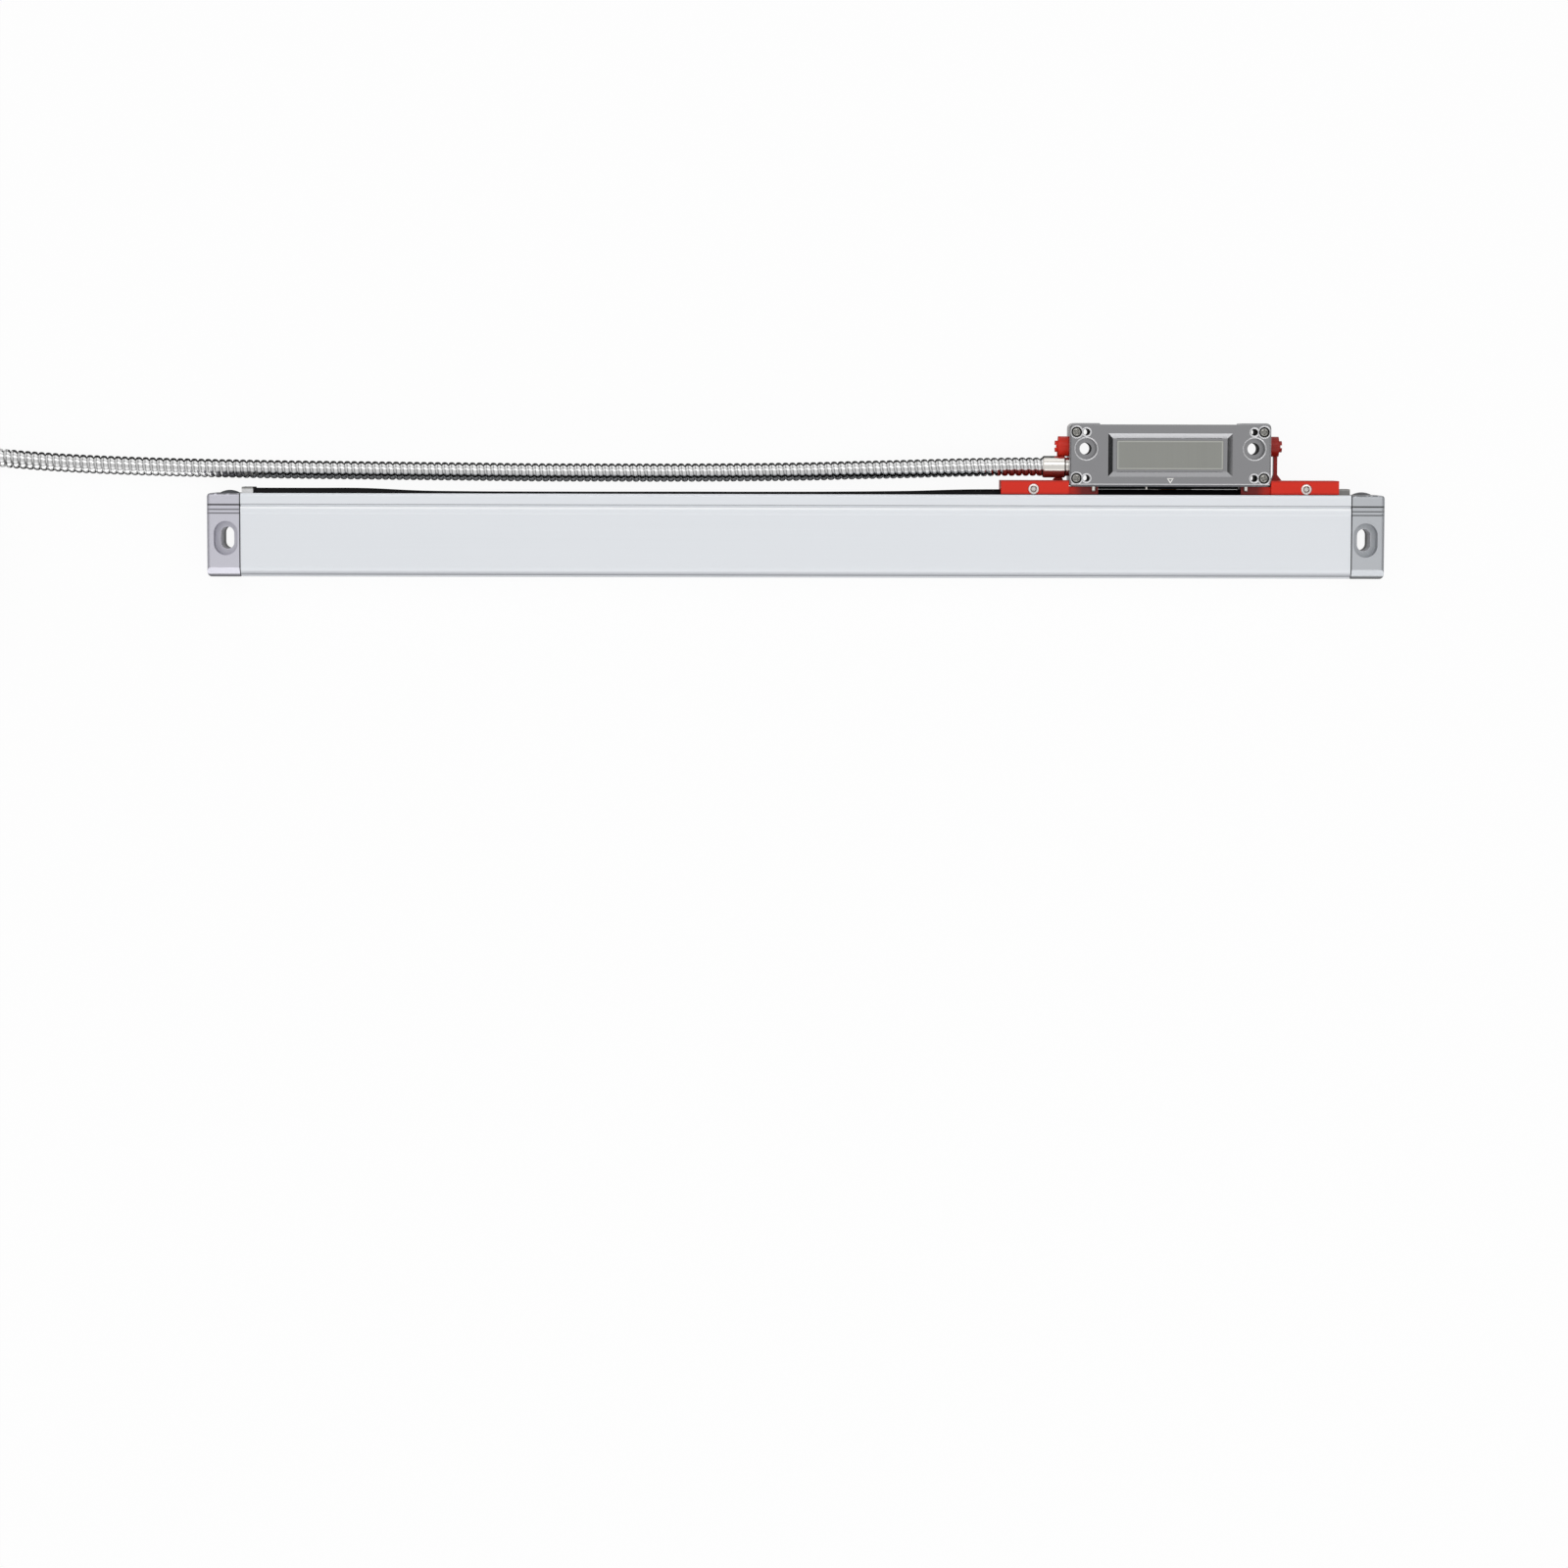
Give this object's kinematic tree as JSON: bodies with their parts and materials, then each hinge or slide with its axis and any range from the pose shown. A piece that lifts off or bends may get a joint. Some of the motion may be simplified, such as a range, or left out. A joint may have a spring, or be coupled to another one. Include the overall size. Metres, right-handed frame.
{
  "type": "linear_glass_scale",
  "caption": "Sealed optical linear scale: slim aluminium housing with end caps, sliding reading head held by red transport brackets, and armoured cable.",
  "frame": {"origin": "on the flat rear mounting face of the scale body, midway between the two mounting slots and on the line through their centres", "axes": "+X along the measuring direction, away from the cable outlet; +Y from the scale body towards the reading head; +Z out of the rear mounting face towards the front of the scale"},
  "size_m": [0.6304, 0.106, 0.0452],
  "materials": {
    "anodised_aluminium": "satin anodised extrusion",
    "cast_zinc": "silver sprayed die casting",
    "clamp_metal": "blasted bright metal",
    "head_metal": "grey satin die casting",
    "glass": "polished, with a fine graduation",
    "seal_rubber": "matt black",
    "gasket_rubber": "matt black",
    "bond": "cured adhesive",
    "plug_plastic": "dark grey",
    "steel": "bright steel",
    "screw_steel": "zinc plated",
    "spring_steel": "spring strip",
    "plate": "bare etched plate",
    "board": "green solder mask",
    "carriage_plastic": "glass filled black plastic",
    "flex": "amber film",
    "bracket_plastic": "red moulding",
    "hose_steel": "bright stainless interlock hose",
    "cable_jacket": "black sheath",
    "tie_plastic": "black nylon",
    "hood_metal": "nickel grey die casting",
    "shell_metal": "tinned shell",
    "insulator": "black moulding",
    "contact_metal": "gilt contacts"
  },
  "bodies": {
    "scale": {"housing_extrusion": "anodised_aluminium", "glass_scale": "glass", "glass_bond": "bond", "lip_seal_front": "seal_rubber", "lip_seal_rear": "seal_rubber", "lip_clamp_left": "clamp_metal", "lip_clamp_right": "clamp_metal", "end_gasket_left": "gasket_rubber", "end_gasket_right": "gasket_rubber", "end_cap_left": "cast_zinc", "end_cap_right": "cast_zinc", "end_cap_screws": "screw_steel", "port_plug_left": "plug_plastic", "port_plug_right": "plug_plastic"},
    "reading_head": {"head_base": "head_metal", "head_cover": "head_metal", "cover_gasket": "gasket_rubber", "cover_screws": "screw_steel", "label_plate": "plate", "locating_pins": "steel", "head_pcb": "board", "drive_arm": "steel", "arm_screws": "screw_steel", "coupling_springs": "spring_steel", "carriage": "carriage_plastic", "bearing_axles": "steel", "led_board": "board", "detector_board": "board", "index_grating": "glass", "flex_cable": "flex", "bracket_left": "bracket_plastic", "bracket_right": "bracket_plastic", "bracket_pin_left": "bracket_plastic", "bracket_pin_right": "bracket_plastic", "bracket_screws": "screw_steel", "cable_ferrule": "steel", "cable_core": "cable_jacket", "cable_hose": "hose_steel", "hose_lead": "hose_steel", "hose_coil": "hose_steel", "coil_ties": "tie_plastic", "connector_hood_lower": "hood_metal", "connector_hood_upper": "hood_metal", "hood_screws": "screw_steel", "connector_face": "shell_metal", "connector_insert": "insulator", "contact_pins": "contact_metal", "hose_collar": "steel"},
    "face_roller_1": {"face_bearing_1": "steel"},
    "face_roller_2": {"face_bearing_2": "steel"},
    "face_roller_3": {"face_bearing_3": "steel"},
    "edge_roller_1": {"edge_bearing_1": "steel"},
    "edge_roller_2": {"edge_bearing_2": "steel"},
    "jackscrew_1": {"thumb_screw_1": "screw_steel"},
    "jackscrew_2": {"thumb_screw_2": "screw_steel"}
  },
  "joints": [
    {"name": "head_slide", "type": "slide", "parent": "scale", "child": "reading_head", "axis": [1, 0, 0], "range_m": [-0.2825, 0]},
    {"name": "face_roller_1_spin", "type": "hinge", "parent": "reading_head", "child": "face_roller_1", "pos_m": [0.1213, 0.0015, 0.01355], "axis": [0, 1, 0], "continuous": true},
    {"name": "face_roller_2_spin", "type": "hinge", "parent": "reading_head", "child": "face_roller_2", "pos_m": [0.1613, 0.0015, 0.01355], "axis": [0, 1, 0], "continuous": true},
    {"name": "face_roller_3_spin", "type": "hinge", "parent": "reading_head", "child": "face_roller_3", "pos_m": [0.1413, -0.0055, 0.01355], "axis": [0, 1, 0], "continuous": true},
    {"name": "edge_roller_1_spin", "type": "hinge", "parent": "reading_head", "child": "edge_roller_1", "pos_m": [0.1173, 0.00905, 0.0085], "axis": [0, 0, 1], "continuous": true},
    {"name": "edge_roller_2_spin", "type": "hinge", "parent": "reading_head", "child": "edge_roller_2", "pos_m": [0.1653, 0.00905, 0.0085], "axis": [0, 0, 1], "continuous": true},
    {"name": "jackscrew_1_turn", "type": "hinge", "parent": "reading_head", "child": "jackscrew_1", "pos_m": [-0.3755, -0.02, 0.0369], "axis": [0, 1, 0], "continuous": true},
    {"name": "jackscrew_2_turn", "type": "hinge", "parent": "reading_head", "child": "jackscrew_2", "pos_m": [-0.4005, -0.02, 0.0369], "axis": [0, 1, 0], "continuous": true}
  ],
  "couplings": [
    {"joint": "face_roller_1_spin", "follows": "head_slide", "rad_per_m": 333.33},
    {"joint": "face_roller_2_spin", "follows": "head_slide", "rad_per_m": 333.33},
    {"joint": "face_roller_3_spin", "follows": "head_slide", "rad_per_m": 333.33},
    {"joint": "edge_roller_1_spin", "follows": "head_slide", "rad_per_m": -333.33},
    {"joint": "edge_roller_2_spin", "follows": "head_slide", "rad_per_m": -333.33}
  ]
}
